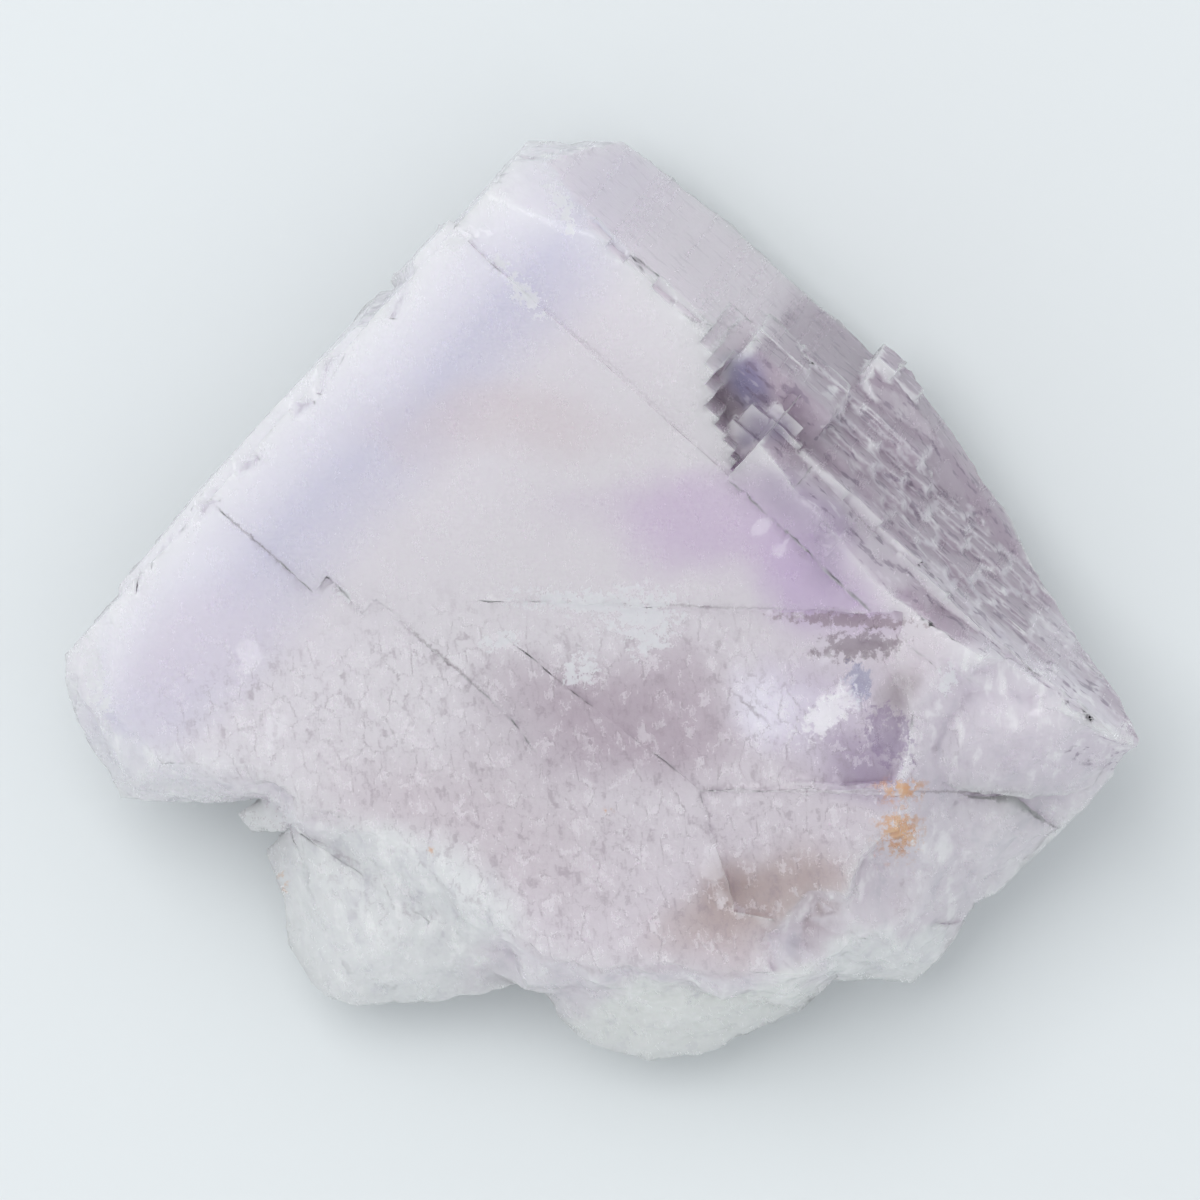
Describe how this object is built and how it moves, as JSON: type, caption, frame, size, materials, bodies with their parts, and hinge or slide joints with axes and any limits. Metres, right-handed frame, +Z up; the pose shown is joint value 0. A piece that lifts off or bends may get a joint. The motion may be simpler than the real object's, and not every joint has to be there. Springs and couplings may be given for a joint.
{
  "type": "fluorite specimen",
  "caption": "Pale lilac fluorite hand specimen: a large tilted cube crystal with smaller parallel crystals, broken lower edges and a rough underside to lie on",
  "frame": {"origin": "middle of the outline seen from above, on the surface that the specimen lies on", "axes": "+Z up, +X along the specimen's longest side, to the right when the large crystal face is seen from above"},
  "size_m": [0.097, 0.0834, 0.0394],
  "materials": {
    "fluorite": "translucent pale lilac crystal, vitreous on the grown faces, milky and sugary where it is broken"
  },
  "bodies": {
    "root": {"fluorite_crystal": "fluorite"}
  },
  "joints": []
}
